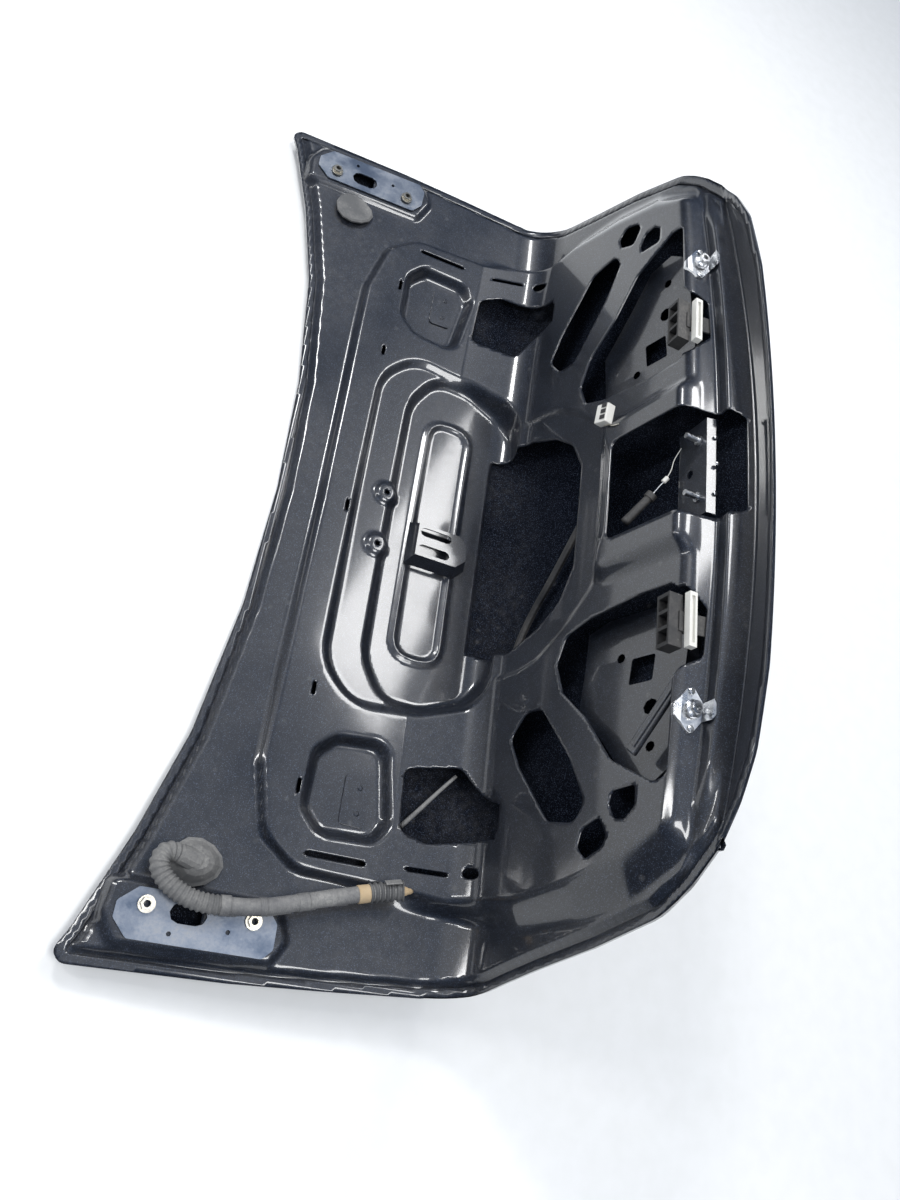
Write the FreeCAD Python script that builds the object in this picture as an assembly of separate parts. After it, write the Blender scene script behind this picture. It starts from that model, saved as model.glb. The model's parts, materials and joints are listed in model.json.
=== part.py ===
import FreeCAD, Part
import math
import os

# Trunk lid lying on its outer skin, inner side up.
# X runs from the front (hinge) edge to the rear face, Y across the car, Z up.
V = FreeCAD.Vector

# --- sizes, in millimetres ---
half_width = 702.0
deck_level = -22.6
deck_end_x = 536.3
rear_lean = 0.259
lower_edge_z = 488.0
skin = 1.0
sheet = 1.2
flange_gap = 0.3
hem_width = 12.0
hem_fold = 1.0
bend_radius = 90.0
crown_front = 30.5
crown_growth = 0.095
rear_crown = 45.0
lower_crown = 85.0
lip_start_z = 443.0
lip_tuck = 14.0
band_height = 13.0
ring_height = 26.0
field_height = 19.0
floor_height = 9.0
pocket_height = 7.0
join_x = 458.0
wall_foot_x = 490.0
wall_lean = 0.205
wall_crown = 30.0
wall_bend_radius = 55.0
shelf_z = 406.9
shelf_end_x = 615.5
shelf_slope = 0.2
shelf_radius = 22.0
step_height = 20.0
strip_rise = 7.6
latch_pad_rise = 16.0
latch_hole_half = 82.0
latch_hole_foot = 280.0
latch_hole_end = 599.0
opening_a_half = 192.0
opening_a_top = 195.0
opening_a_front = 477.0
lamp_hole_top = 384.0
lamp_panel_gap = 18.0
lamp_panel_edge = 4.0
hinge_plate_length = 193.0
hinge_plate_width = 60.0
hinge_plate_thick = 2.5
hinge_plate_x = 153.5
hinge_plate_y = 635.0
hinge_bolt_spacing = 129.0
hinge_bolt_x = 91.0
hinge_bolt_y = 624.0
hinge_bolt_hole = 8.5
nut_across = 14.0
nut_height = 7.0
nut_flange = 21.0
stud_spacing = 90.0
stud_radius = 4.0
stud_length = 22.0
stud_z = 394.0
latch_plate_x = 599.5
latch_plate_thick = 2.0
bump_x = 583.0
bump_y = 345.0
bump_rivet_spacing = 45.0
bump_plate_thick = 2.0
bushing_radius = 11.0
bushing_height = 12.0
bushing_bore = 4.0
grommet_x = 138.0
grommet_y = 566.0
grommet_length = 68.0
grommet_width = 60.0
conduit_radius = 10.5
sleeve_radius = 9.5
seat_gap = 0.3
hinge_pad_height = 22.0
bead_rise = 4.0
bead_width = 11.0
bead_x0 = 345.0
bead_x1 = 434.0
bead_y = 222.0
crown_stations = 7


def crown_u(y):
    return (y / 700.0) ** 2


def deck_crown(x):
    return crown_front + (x - 106.0) * crown_growth


def sheet_z(x, y, height):
    """Height of the flat strips that the deck is made of, between two section stations."""
    pitch = 2.0 * 720.0 / (crown_stations - 1)
    k = int(abs(y) // pitch)
    part = abs(y) / pitch - k
    u = crown_u(k * pitch) * (1.0 - part) + crown_u((k + 1) * pitch) * part
    return deck_level + height + deck_crown(x) * u


def rear_x(z):
    return deck_end_x + rear_lean * (z - deck_level)


def blend(centre, side, y):
    u = crown_u(y)
    return (centre[0] + (side[0] - centre[0]) * u, centre[1] + (side[1] - centre[1]) * u)


def rounded(points, radii, chords):
    """Corners of a closed outline, each one rounded by a few short chords."""
    out = []
    count = len(points)
    for i in range(count):
        p, q, r = points[i - 1], points[i], points[(i + 1) % count]
        a = (q - p).normalize()
        b = (r - q).normalize()
        turn = a.getAngle(b)
        if radii[i] <= 0 or turn < 1e-4:
            out.append(q)
            continue
        middle = q + (b - a).normalize() * (radii[i] / math.cos(turn / 2))
        start = q - a * (radii[i] * math.tan(turn / 2)) - middle
        normal = a.cross(b).normalize()
        for k in range(chords + 1):
            turned = FreeCAD.Rotation(normal, math.degrees(turn * k / chords)).multVec(start)
            out.append(middle + turned)
    return out


def outline_wire(points, radii, chords):
    corners = rounded(points, radii, chords)
    return Part.makePolygon(corners + corners[:1])


def crowned_block(centre, side, radii, smooth=False):
    """Solid whose section changes across the car from centre to side."""
    wires = []
    half = crown_stations // 2
    for k in range(-half, half + 1):
        y = 720.0 * k / half
        points = [blend(c, s, y) for c, s in zip(centre, side)]
        points = [V(x, y, z) for x, z in points]
        wires.append(outline_wire(points, radii, 4))
    return Part.makeLoft(wires, True, not smooth)


def outer_block(height):
    """Everything on the outside of a face that lies height inside the skin's face."""
    front_z = deck_level + height
    corner_x = rear_x(deck_level) - height * 1.05 - height * rear_lean
    corner_x = deck_end_x - height * math.hypot(1, rear_lean) + rear_lean * height
    lip_x = rear_x(lip_start_z) - height
    end_z = lower_edge_z + 25.0
    end_x = lip_x - lip_tuck * (end_z - lip_start_z) / (lower_edge_z - lip_start_z)
    centre = [(-60.0, front_z), (corner_x, front_z), (lip_x, lip_start_z), (end_x, end_z),
              (820.0, end_z), (820.0, -220.0), (-60.0, -220.0)]
    side = [(-60.0, front_z + deck_crown(-60.0)), (corner_x - 27.0, front_z + 69.0),
            (lip_x - lower_crown, lip_start_z), (end_x - lower_crown, end_z),
            (820.0, end_z), (820.0, -220.0), (-60.0, -220.0)]
    return crowned_block(centre, side, [0, bend_radius - height, 30.0, 0, 0, 0, 0])


def wall_x(z):
    return wall_foot_x + wall_lean * (z + 9.0)


def inner_block(drop):
    """Block under the raised ring, rear wall and shelf, lowered by drop."""
    level = deck_level + ring_height - drop
    corner_x = wall_x(shelf_z) + drop
    end_z = shelf_z + (shelf_end_x - wall_x(shelf_z)) * shelf_slope - drop
    top_z = end_z + step_height
    centre = [(-60.0, level), (385.0, level), (500.0 + drop, 33.0 - drop),
              (corner_x, shelf_z - drop), (shelf_end_x + drop, end_z),
              (shelf_end_x - 0.8 + drop, top_z), (shelf_end_x + 57.0, top_z + strip_rise * 1.5),
              (820.0, top_z + strip_rise * 1.5), (820.0, -220.0), (-60.0, -220.0)]
    side = [(-60.0, level + deck_crown(-60.0)), (385.0, level + deck_crown(385.0)),
            (485.0 + drop, 99.0 - drop), (corner_x - wall_crown, shelf_z - drop - 20.0),
            (shelf_end_x + drop - 60.0, end_z - 22.0),
            (shelf_end_x - 60.8 + drop, top_z - 22.0), (shelf_end_x + 12.0, top_z - 14.0),
            (820.0, top_z - 14.0), (820.0, -220.0), (-60.0, -220.0)]
    return crowned_block(centre, side, [0, 0, wall_bend_radius, shelf_radius, 0, 0, 0, 0, 0, 0])


def polygon(points, place, radius, chords=2):
    return outline_wire([place(a, b) for a, b in points], [radius] * len(points), chords)


def mirrored(points):
    """Closed outline from one half, given from the centre line out and round."""
    return points + [(a, -b) for a, b in reversed(points)]


def drafted(lower, upper, place_lower, place_upper, radius):
    """Block between two outlines with the same corners."""
    wires = [polygon(lower, place_lower, radius), polygon(upper, place_upper, radius)]
    return Part.makeLoft(wires, True, True)


def z_block(lower, upper, z0, z1, radius):
    return drafted(lower, upper, lambda x, y: V(x, y, z0), lambda x, y: V(x, y, z1), radius)


def x_block(near, far, x0, x1, radius):
    return drafted(near, far, lambda z, y: V(x0, y, z), lambda z, y: V(x1, y, z), radius)


def pushed_in(points, inset):
    """Open half outline moved inwards, each corner along its own bisector."""
    out = []
    for i, p in enumerate(points):
        before = points[max(i - 1, 0)]
        after = points[min(i + 1, len(points) - 1)]
        da, db = after[0] - before[0], after[1] - before[1]
        run = math.hypot(da, db)
        out.append((p[0] + inset * db / run, p[1] - inset * da / run))
    return out


def plan_outline(inset):
    """Half outline of the lid seen from above, ahead of the bend, drawn in by inset."""
    side = half_width
    half = [(129.1, 0.0), (121.5, 200.0), (95.3, 400.0), (58.5, 540.0), (16.0, 662.0),
            (3.0, side - 14.0), (14.0, side - 0.5), (208.0, side - 5.0), (330.0, side - 12.0),
            (join_x, side - 21.0)]
    if inset > 8:
        half = half[:5] + [(12.0, side - 4.0)] + half[7:]
    moved = pushed_in(half, inset)
    moved[-1] = (join_x, half[-1][1] - inset)
    return moved


def rear_outline(inset):
    """Half outline of the lid seen along X, behind the join, drawn in by inset."""
    side = half_width - 21.0
    half = [(-80.0, side), (36.0, side), (75.0, 671.0), (124.0, 653.5), (183.0, 634.0),
            (275.0, 606.0), (365.0, 572.0), (400.0, 540.0), (428.0, 500.0), (457.0, 453.0),
            (477.0, 400.0), (lower_edge_z, 300.0)]
    moved = pushed_in(half, inset)
    moved[0] = (-80.0, side - inset)
    return moved


def outline_block(inset):
    """Everything inside the lid's edge, drawn in by inset."""
    plan = mirrored(plan_outline(inset)[1:])
    seen = mirrored(rear_outline(inset))
    deck = z_block(plan, plan, -100.0, 300.0, 0.0)
    rear = x_block(seen, seen, join_x, 798.0, 0.0)
    return deck.fuse(rear)


def ring_outline_block(inset):
    """Sides of the raised ring: steep at the front, sloping beside the rear wall."""
    top = [(199.0, 0.0), (193.0, 420.0), (215.0, 512.0), (262.0, 548.0), (join_x, 556.0)]
    grow = [(8.0, 0), (8.0, 1.0), (7.0, 5.0), (4.0, 8.0), (0, 8.0)]
    base = [(x - a, y + b) for (x, y), (a, b) in zip(top, grow)]
    top = [(x + inset, y - inset * (y > 0)) if x < join_x else (x, y - inset) for x, y in top]
    base = [(x + inset, y - inset * (y > 0)) if x < join_x else (x, y - inset) for x, y in base]
    deck = z_block(mirrored(base[1:]), mirrored(top[1:]), -60.0, 90.0, 14.0)
    near = [(30.0, 556.0), (150.0, 552.0), (250.0, 530.0), (330.0, 505.0), (398.0, 470.0),
            (425.0, 392.0), (462.0, 330.0)]
    far = [(30.0, 580.0), (150.0, 596.0), (250.0, 588.0), (330.0, 566.0), (412.0, 500.0),
           (450.0, 400.0), (476.0, 330.0)]
    near = [(-100.0, 556.0)] + near
    far = [(-100.0, 580.0)] + far
    near = [(z - inset * (z > 400), y - inset) for z, y in near]
    far = [(z - inset * (z > 400), y - inset) for z, y in far]
    rear = x_block(mirrored(near), mirrored(far), join_x, 640.0, 0.0)
    return deck.fuse(rear)


def both_sides(shape):
    return [shape, shape.mirror(V(0, 0, 0), V(0, 1, 0))]


field = [(248.0, 0.0), (248.0, 258.0), (300.0, 312.0), (400.0, 303.0), (480.0, 272.0), (520.0, 240.0)]
floor = [(308.0, 0.0), (308.0, 232.0), (345.0, 293.0), (410.0, 294.0), (478.0, 262.0), (520.0, 215.0)]
pocket = [(262.0, 392.0), (290.0, 367.0), (362.0, 360.0), (378.0, 470.0), (360.0, 497.0),
          (285.0, 499.0), (259.0, 470.0)]
opening_1 = [(391.0, 388.0), (470.0, 374.0), (516.0, 446.0), (512.0, 474.0), (430.0, 490.0),
             (394.0, 478.0)]
opening_2 = [(108.0, 335.0), (135.0, 300.0), (168.0, 302.0), (232.0, 380.0), (268.0, 440.0),
             (255.0, 466.0), (205.0, 460.0), (135.0, 380.0)]
opening_3 = [(186.0, 240.0), (200.0, 200.0), (240.0, 186.0), (330.0, 175.0), (430.0, 176.0),
             (430.0, 425.0), (372.0, 428.0), (303.0, 392.0), (256.0, 332.0), (205.0, 286.0)]
opening_3_shelf = [(520.0, 180.0), (575.0, 184.0), (602.0, 212.0), (598.0, 276.0), (572.0, 292.0),
                   (561.0, 320.0), (561.0, 400.0), (550.0, 424.0), (520.0, 424.0)]


def grown(points, amount):
    """Outline pushed out from its own middle by amount."""
    ca = sum(p[0] for p in points) / len(points)
    cb = sum(p[1] for p in points) / len(points)
    out = []
    for a, b in points:
        reach = math.hypot(a - ca, b - cb)
        out.append((ca + (a - ca) * (1 + amount / reach), cb + (b - cb) * (1 + amount / reach)))
    return out


window = [(308.0, 448.0), (310.0, 432.0), (348.0, 428.0), (350.0, 454.0), (336.0, 468.0), (318.0, 466.0)]


def recess(points, height, draft, drop):
    """Sunk area of the panel: a drafted cutter that stops at a height over the skin."""
    low, high = -30.0, 60.0
    cutter = z_block(grown(points, drop - draft), grown(points, drop + draft), low, high, 16.0)
    return cutter.cut(outer_block(height - drop))


def slot(x, y, length, width, along_x=True):
    """Upright slot cutter with round ends."""
    a, b = (length / 2, width / 2) if along_x else (width / 2, length / 2)
    corners = [(x - a, y - b), (x + a, y - b), (x + a, y + b), (x - a, y + b)]
    return z_block(corners, corners, -60.0, 160.0, width * 0.49)


def opening_cutters():
    """Every hole through the inner panel."""
    a = opening_a_half
    arch = [(-30.0, a - 24.0), (12.0, a - 3.0), (72.0, a), (132.0, a - 24.0), (172.0, a - 55.0),
            (opening_a_top, a - 105.0)]
    cuts = [x_block(mirrored(arch), mirrored(arch), opening_a_front, 600.0, 22.0)]
    hole = [(latch_hole_foot, latch_hole_half), (440.0, latch_hole_half)]
    cuts.append(x_block(mirrored(hole), mirrored(hole), 490.0, 575.0, 14.0))
    shelf = [(520.0, latch_hole_half), (582.0, latch_hole_half), (latch_hole_end, latch_hole_half - 20.0)]
    cuts.append(z_block(mirrored(shelf), mirrored(shelf), 372.0, 440.0, 6.0))
    cuts += both_sides(x_block(opening_2, opening_2, 480.0, 600.0, 16.0))
    cuts += both_sides(x_block(opening_3, opening_3, 490.0, 560.0, 14.0))
    under_shelf = [(min(z, lamp_hole_top), y) for z, y in opening_3 if z != 372.0]
    cuts += both_sides(x_block(under_shelf, under_shelf, 540.0, 580.0, 0.0))
    cuts += both_sides(z_block(opening_3_shelf, opening_3_shelf, 376.0, 430.0, 5.0))
    cuts += both_sides(x_block(window, window, 500.0, 580.0, 6.0))
    cuts += both_sides(z_block(opening_1, opening_1, -16.0, 92.0, 10.0))
    cuts += both_sides(slot(311.0, 530.0, 84.0, 7.0))
    cuts += both_sides(slot(434.0, 526.5, 56.0, 6.0))
    cuts += both_sides(slot(242.0, 305.0, 21.0, 5.5, False))
    cuts += both_sides(slot(246.0, 445.0, 22.0, 5.5, False))
    cuts.append(slot(237.0, 0.0, 21.0, 5.5, False))
    cuts += both_sides(slot(486.0, 521.0, 15.0, 15.0))
    for side in (-1, 1):
        cuts.append(slot(grommet_x, side * grommet_y, 46.0, 40.0))
        for k in (0, 1):
            x = hinge_bolt_x + k * hinge_bolt_spacing
            cuts.append(slot(x, side * hinge_bolt_y, 16.0, 16.0))
        cuts.append(Part.makeBox(46.0, 26.0, 60.0, V(113.0, side * 631.0 - 13.0, 4.0)))
        cuts.append(Part.makeBox(8.0, 8.0, 40.0, V(293.0, side * 47.0 - 4.0, -15.0)))
    return cuts


def panel_block(drop):
    """Filled panel with every raised form, its top face lowered by drop."""
    base = outer_block(skin + flange_gap + sheet - drop).common(outline_block(hem_fold + 0.6))
    band = outer_block(band_height - drop).common(outline_block(hem_width + 6.0 + drop))
    ring = inner_block(drop).common(ring_outline_block(drop))
    cutters = [recess(mirrored(field[1:]), field_height, 8.0, drop),
               recess(mirrored(floor[1:]), floor_height, 8.0, drop)]
    cutters += both_sides(recess(pocket, pocket_height, 8.0, drop))
    ring = ring.cut(cutters)
    band = band.cut(cutters)
    pad = [(44.0, 596.0), (250.0, 600.0), (268.0, 640.0), (250.0, 670.0), (60.0, 672.0), (40.0, 640.0)]
    pads = z_block(grown(pad, 5.0 - drop), grown(pad, -5.0 - drop), -40.0, 80.0, 12.0)
    hinge = outer_block(hinge_pad_height - drop).common(Part.makeCompound(both_sides(pads)))
    near = [(266.0, 108.0 - drop), (432.0, 112.0 - drop)]
    far = [(236.0, 138.0 - drop), (440.0, 142.0 - drop)]
    latch = x_block(mirrored(near), mirrored(far), 500.0, 580.0, 12.0)
    raised = inner_block(drop)
    raised.translate(V(-latch_pad_rise, 0, 0))
    latch = latch.common(raised)
    bead_level = outer_block(floor_height + bead_rise - drop)
    x0, x1, y1, w = bead_x0 + drop, bead_x1 - drop, bead_y - drop, bead_width - 2 * drop
    outer = [(x0, y1), (x1, y1)]
    inner = [(x0 + w, y1 - w), (x1 - w, y1 - w)]
    outer = z_block(mirrored(outer), mirrored(outer), -40.0, 30.0, 40.0)
    inner = z_block(mirrored(inner), mirrored(inner), -40.0, 30.0, 40.0 - w)
    ring_bead = bead_level.common(outer.cut(inner))
    boss = turned(296.0, 47.0, -17.0 - drop, [(21.0 - drop, 0), (15.0 - drop, 24.0)], 20)
    boss = outer_block(ring_height - drop).common(Part.makeCompound(both_sides(boss)))
    return base.fuse([band, ring, hinge, latch, ring_bead, boss])


def inner_panel():
    panel = panel_block(0.0).cut(panel_block(sheet))
    panel = max(panel.Solids, key=lambda solid: solid.Volume)
    return panel.cut(opening_cutters())


def outer_skin():
    edge = outline_block(0.0)
    body = outer_block(skin).cut(outer_block(0.0)).common(edge)
    fold_top = skin + flange_gap * 2 + sheet + hem_fold
    rim = outer_block(fold_top).common(edge.cut(outline_block(hem_width)))
    rim = rim.cut([outer_block(skin), outer_block(fold_top - hem_fold).common(outline_block(hem_fold))])
    return body.fuse(rim)


def top_of(shape, x, y):
    """Highest point of a solid on the upright line through a plan point."""
    line = Part.makeLine(V(x, y, -150.0), V(x, y, 600.0))
    return max(v.Z for v in line.common(shape).Vertexes)


def round_outline(x, y, z, radius, sides=16):
    """Corners of an upright round, drawn as a many-sided figure."""
    return [V(x + radius * math.cos(2 * math.pi * k / sides), y + radius * math.sin(2 * math.pi * k / sides), z)
            for k in range(sides)]


def stacked(outlines):
    """Solid with flat faces through matching outlines, one above the other."""
    faces = [Part.Face(Part.makePolygon(ends + ends[:1])) for ends in (outlines[0], outlines[-1])]
    for low, top in zip(outlines, outlines[1:]):
        for k in range(len(low)):
            m = (k + 1) % len(low)
            faces.append(Part.Face(Part.makePolygon([low[k], low[m], top[m], top[k], low[k]])))
    shell = Part.makeShell(faces)
    shell.sewShape()
    solid = Part.makeSolid(shell)
    if solid.Volume < 0:
        solid.reverse()
    return solid


def turned(x, y, z, profile, sides=16):
    """Upright turned piece from (radius, height) steps."""
    return stacked([round_outline(x, y, z + h, r, sides) for r, h in profile])


def rim_points(radius):
    return [(radius * math.cos(math.pi * k / 4), radius * math.sin(math.pi * k / 4)) for k in range(8)]


def hinge_plate(side):
    x, y = hinge_plate_x, hinge_plate_y
    a, b = hinge_plate_length / 2, hinge_plate_width / 2
    corners = [(x - a, y - b * 0.35), (x - a + 22.0, y - b), (x + a - 14.0, y - b), (x + a, y - b * 0.4),
               (x + a, y + b * 0.6), (x + a - 12.0, y + b), (x - a + 20.0, y + b), (x - a, y + b * 0.3)]
    under = hinge_pad_height + seat_gap
    plate = outer_block(under + hinge_plate_thick).cut(outer_block(under))
    plate = plate.common(z_block(corners, corners, -30.0, 90.0, 5.0))
    holes = [slot(142.0, y - 7.0, 45.0, 24.0), turned(192.0, y + 6.0, -30.0, [(3.0, 0), (3.0, 120.0)], 8),
             turned(124.0, y + 18.0, -30.0, [(3.0, 0), (3.0, 120.0)], 8)]
    for k in (0, 1):
        holes.append(Part.makeCylinder(hinge_bolt_hole / 2, 120.0,
                                       V(hinge_bolt_x + k * hinge_bolt_spacing, hinge_bolt_y, -30.0)))
    return put(plate.cut(holes), side)


def put(shape, side):
    """Left pieces as modelled, right pieces mirrored."""
    return shape if side == "left" else shape.mirror(V(0, 0, 0), V(0, 1, 0))


def hinge_nut(plate, place):
    x = hinge_bolt_x + place * hinge_bolt_spacing
    y = hinge_bolt_y
    z = max(top_of(plate, x + a, y + b) for a, b in rim_points(nut_flange / 2)) + seat_gap
    flange = turned(x, y, z, [(nut_flange / 2, 0), (nut_flange / 2, 2.0)], 18)
    hexagon = Part.makePolygon([V(x + nut_across / 1.732 * math.cos(math.radians(60 * k)),
                                  y + nut_across / 1.732 * math.sin(math.radians(60 * k)), z)
                                for k in range(7)])
    body = Part.Face(hexagon).extrude(V(0, 0, nut_height))
    bore = Part.makeCylinder(hinge_bolt_hole / 2, nut_height + 4.0, V(x, y, z - 2.0))
    return flange.fuse(body).cut(bore)


def pocket_bracket():
    corners = [(314.0, 408.0), (352.0, 410.0), (350.0, 482.0), (312.0, 480.0)]
    under = pocket_height + seat_gap
    plate = outer_block(under + 1.5).cut(outer_block(under))
    plate = plate.common(z_block(corners, corners, -30.0, 90.0, 6.0))
    dots = [turned(336.0, y, top_of(plate, 336.0, y) - 0.6, [(4.0, 0), (4.0, 1.4), (2.4, 2.2)], 10)
            for y in (427.0, 463.0)]
    return plate.fuse(dots)


def grommet_outline(scale, z):
    a, b = grommet_length / 2 * scale, grommet_width / 2 * scale
    points = []
    for k in range(12):
        t = math.radians(30.0 * k)
        narrow = 1.0 - 0.16 * math.cos(t)
        points.append(V(grommet_x + a * math.cos(t), grommet_y + b * narrow * math.sin(t), z))
    return points


def grommet_seat():
    return sheet_z(grommet_x + 20.0, grommet_y + grommet_width / 2, band_height) + seat_gap


def blanking_plug():
    z = grommet_seat()
    return stacked([grommet_outline(0.54, z - 10.0), grommet_outline(0.54, z), grommet_outline(1.0, z),
                    grommet_outline(1.0, z + 3.0), grommet_outline(0.9, z + 5.0)])


def wiring_grommet():
    z = grommet_seat()
    dome = stacked([grommet_outline(0.54, z - 10.0), grommet_outline(0.54, z), grommet_outline(1.0, z),
                    grommet_outline(1.0, z + 3.0), grommet_outline(0.86, z + 6.0),
                    grommet_outline(0.6, z + 17.0), grommet_outline(0.35, z + 23.0)])
    dome = dome.mirror(V(0, 0, 0), V(0, 1, 0))
    start = V(grommet_x - 2.0, -grommet_y, z + 12.0)
    spout = V(conduit_route[0][0], conduit_route[0][1], conduit_route[0][2]) - start
    elbow = turned(0.0, 0.0, 0.0, [(15.0, 0), (conduit_radius + 2.0, spout.Length - 0.3)], 14)
    elbow.Placement = FreeCAD.Placement(start, FreeCAD.Rotation(V(0, 0, 1), spout))
    return dome.fuse(elbow)


def cord_path(points):
    """Straight runs joined by tangent arcs, and the arc radii."""
    points = [V(*p) for p in points]
    edges = []
    radii = []
    at = points[0]
    for p, q, r in zip(points, points[1:], points[2:]):
        a = (q - p).normalize()
        b = (r - q).normalize()
        turn = a.getAngle(b)
        reach = 0.45 * min((q - p).Length, (r - q).Length)
        radius = reach / math.tan(turn / 2)
        radii.append(radius)
        start = q - a * reach
        stop = q + b * reach
        middle = q + (b - a).normalize() * (radius / math.cos(turn / 2) - radius)
        edges.append(Part.LineSegment(at, start).toShape())
        edges.append(Part.Arc(start, middle, stop).toShape())
        at = stop
    edges.append(Part.LineSegment(at, points[-1]).toShape())
    return Part.Wire(edges), radii


def tube(points, radius, name):
    wire, radii = cord_path(points)
    start = V(*points[0])
    along = (V(*points[1]) - start).normalize()
    across = along.cross(V(0, 0, 1)).normalize()
    up = across.cross(along)
    corners = [start + across * (radius * math.cos(math.radians(a))) + up * (radius * math.sin(math.radians(a)))
               for a in range(0, 361, 45)]
    ring = Part.makePolygon(corners)
    solid = wire.makePipeShell([ring], True, True)
    print(name, "length", round(wire.Length, 1), "radii", [round(r, 1) for r in radii],
          "volume ratio", round(solid.Volume / (Part.Face(ring).Area * wire.Length), 4))
    return solid


conduit_route = [(113.0, -562.0, 38.0), (100.0, -559.7, 43.5), (91.0, -568.0, 47.0), (91.0, -582.0, 48.5),
                 (102.0, -595.0, 49.0), (118.0, -605.0, 49.5), (138.0, -612.0, 50.0), (160.0, -614.0, 50.5),
                 (176.0, -612.6, 51.0)]
sleeve_route = [(176.0, -612.6, 51.0), (216.0, -609.1, 52.3), (262.0, -596.0, 51.5), (312.0, -580.0, 50.0),
                (359.0, -567.0, 51.5)]
boot_route = [(359.0, -567.0, 51.5), (380.0, -561.2, 52.2), (402.0, -557.5, 58.5)]
harness_route = [(566.0, 30.0, 178.0), (556.0, -20.0, 150.0), (550.0, -70.0, 110.0), (543.0, -115.0, 72.0),
                 (536.0, -160.0, 48.0), (531.0, -205.0, 42.0), (528.0, -250.0, 44.0)]


def centre_bracket():
    x, y = 398.0, -24.0
    z0 = sheet_z(x + 52.0, y - 37.0, floor_height + bead_rise) + seat_gap

    def outline(inset, height):
        a, b, c = 52.0 - inset, 37.0 - inset, 19.0 - 0.4 * inset
        return [V(x + p, y + q, z0 + height) for p, q in
                ((-a, -b), (a - c, -b), (a, c - b), (a, b - c), (a - c, b), (-a, b))]
    shell = stacked([outline(0.0, 0.0), outline(9.0, 24.0)])
    shell = shell.cut(stacked([outline(1.25, -2.0), outline(10.25, 22.0)]))
    for k in (-1, 1):
        shell = shell.cut(slot(x - 12.0, y + k * 15.0, 54.0, 15.0))
    return shell


def shelf_plate(outline, gap, thick):
    """Plate lying on the shelf, following its slope and crown."""
    return inner_block(-gap - thick).cut(inner_block(-gap)).common(outline)


def bump_plate():
    x, y = bump_x, bump_y
    r = bump_rivet_spacing / 2
    diamond = [(x + 1.0, y - r - 9.0), (x + 17.0, y - 7.0), (x + 17.0, y + 7.0), (x - 1.0, y + r + 9.0),
               (x - 17.0, y + 7.0), (x - 17.0, y - 7.0)]
    return shelf_plate(z_block(diamond, diamond, 330.0, 480.0, 5.0), seat_gap, bump_plate_thick)


def bushing(plate):
    z = max(top_of(plate, bump_x + a, bump_y + b) for a, b in rim_points(bushing_radius)) + seat_gap
    profile = [(bushing_radius, 0), (bushing_radius, 4.0), (8.0, 6.0), (8.0, bushing_height - 1.0),
               (7.0, bushing_height)]
    bore = Part.makeCylinder(bushing_bore, bushing_height + 4.0, V(bump_x, bump_y, z - 2.0))
    return turned(bump_x, bump_y, z, profile, 20).cut(bore)


def bump_rivet(plate, k):
    y = bump_y + k * bump_rivet_spacing / 2
    z = top_of(plate, bump_x, y)
    return turned(bump_x, y, z + 1.0, [(4.2, 0), (4.2, 1.2), (2.6, 2.4)], 10)


def latch_plate():
    under = shelf_block_under(sheet + seat_gap, latch_plate_thick)
    flange = under.common(Part.makeBox(13.0, 148.0, 120.0, V(latch_plate_x, -74.0, 330.0)))
    leg = Part.makeBox(latch_plate_thick, 148.0, 58.0, V(latch_plate_x, -74.0, 352.0))
    leg = leg.common(inner_block(sheet + seat_gap))
    holes = [Part.makeCylinder(6.0, 20.0, V(latch_plate_x - 5.0, 0.0, 376.0), V(1, 0, 0))]
    return flange.fuse(leg).cut(holes)


def shelf_block_under(gap, thick):
    return inner_block(gap).cut(inner_block(gap + thick))


def latch_stud(k):
    y = k * stud_spacing / 2
    shank = Part.makeCylinder(stud_radius, stud_length, V(latch_plate_x - seat_gap / 2, y, stud_z), V(-1, 0, 0))
    head = turned(0.0, 0.0, 0.0, [(7.0, 0), (7.0, 3.0)], 12)
    head.Placement = FreeCAD.Placement(V(latch_plate_x - seat_gap / 2, y, stud_z),
                                       FreeCAD.Rotation(V(0, 1, 0), -90))
    return shank.fuse(head)


def lamp_bracket():
    body = Part.makeBox(20.0, 70.0, 24.0, V(553.0, 199.0, 378.0))
    for k in range(3):
        body = body.cut(Part.makeBox(14.0, 17.0, 18.0, V(551.0, 204.0 + k * 21.5, 381.0)))
    tab = shelf_block_under(sheet + seat_gap, 2.0)
    tab = tab.common(Part.makeBox(42.0, 26.0, 60.0, V(568.0, 222.0, 385.0)))
    return body.fuse([tab, Part.makeBox(6.0, 26.0, 8.0, V(567.0, 222.0, 396.0))])


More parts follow.
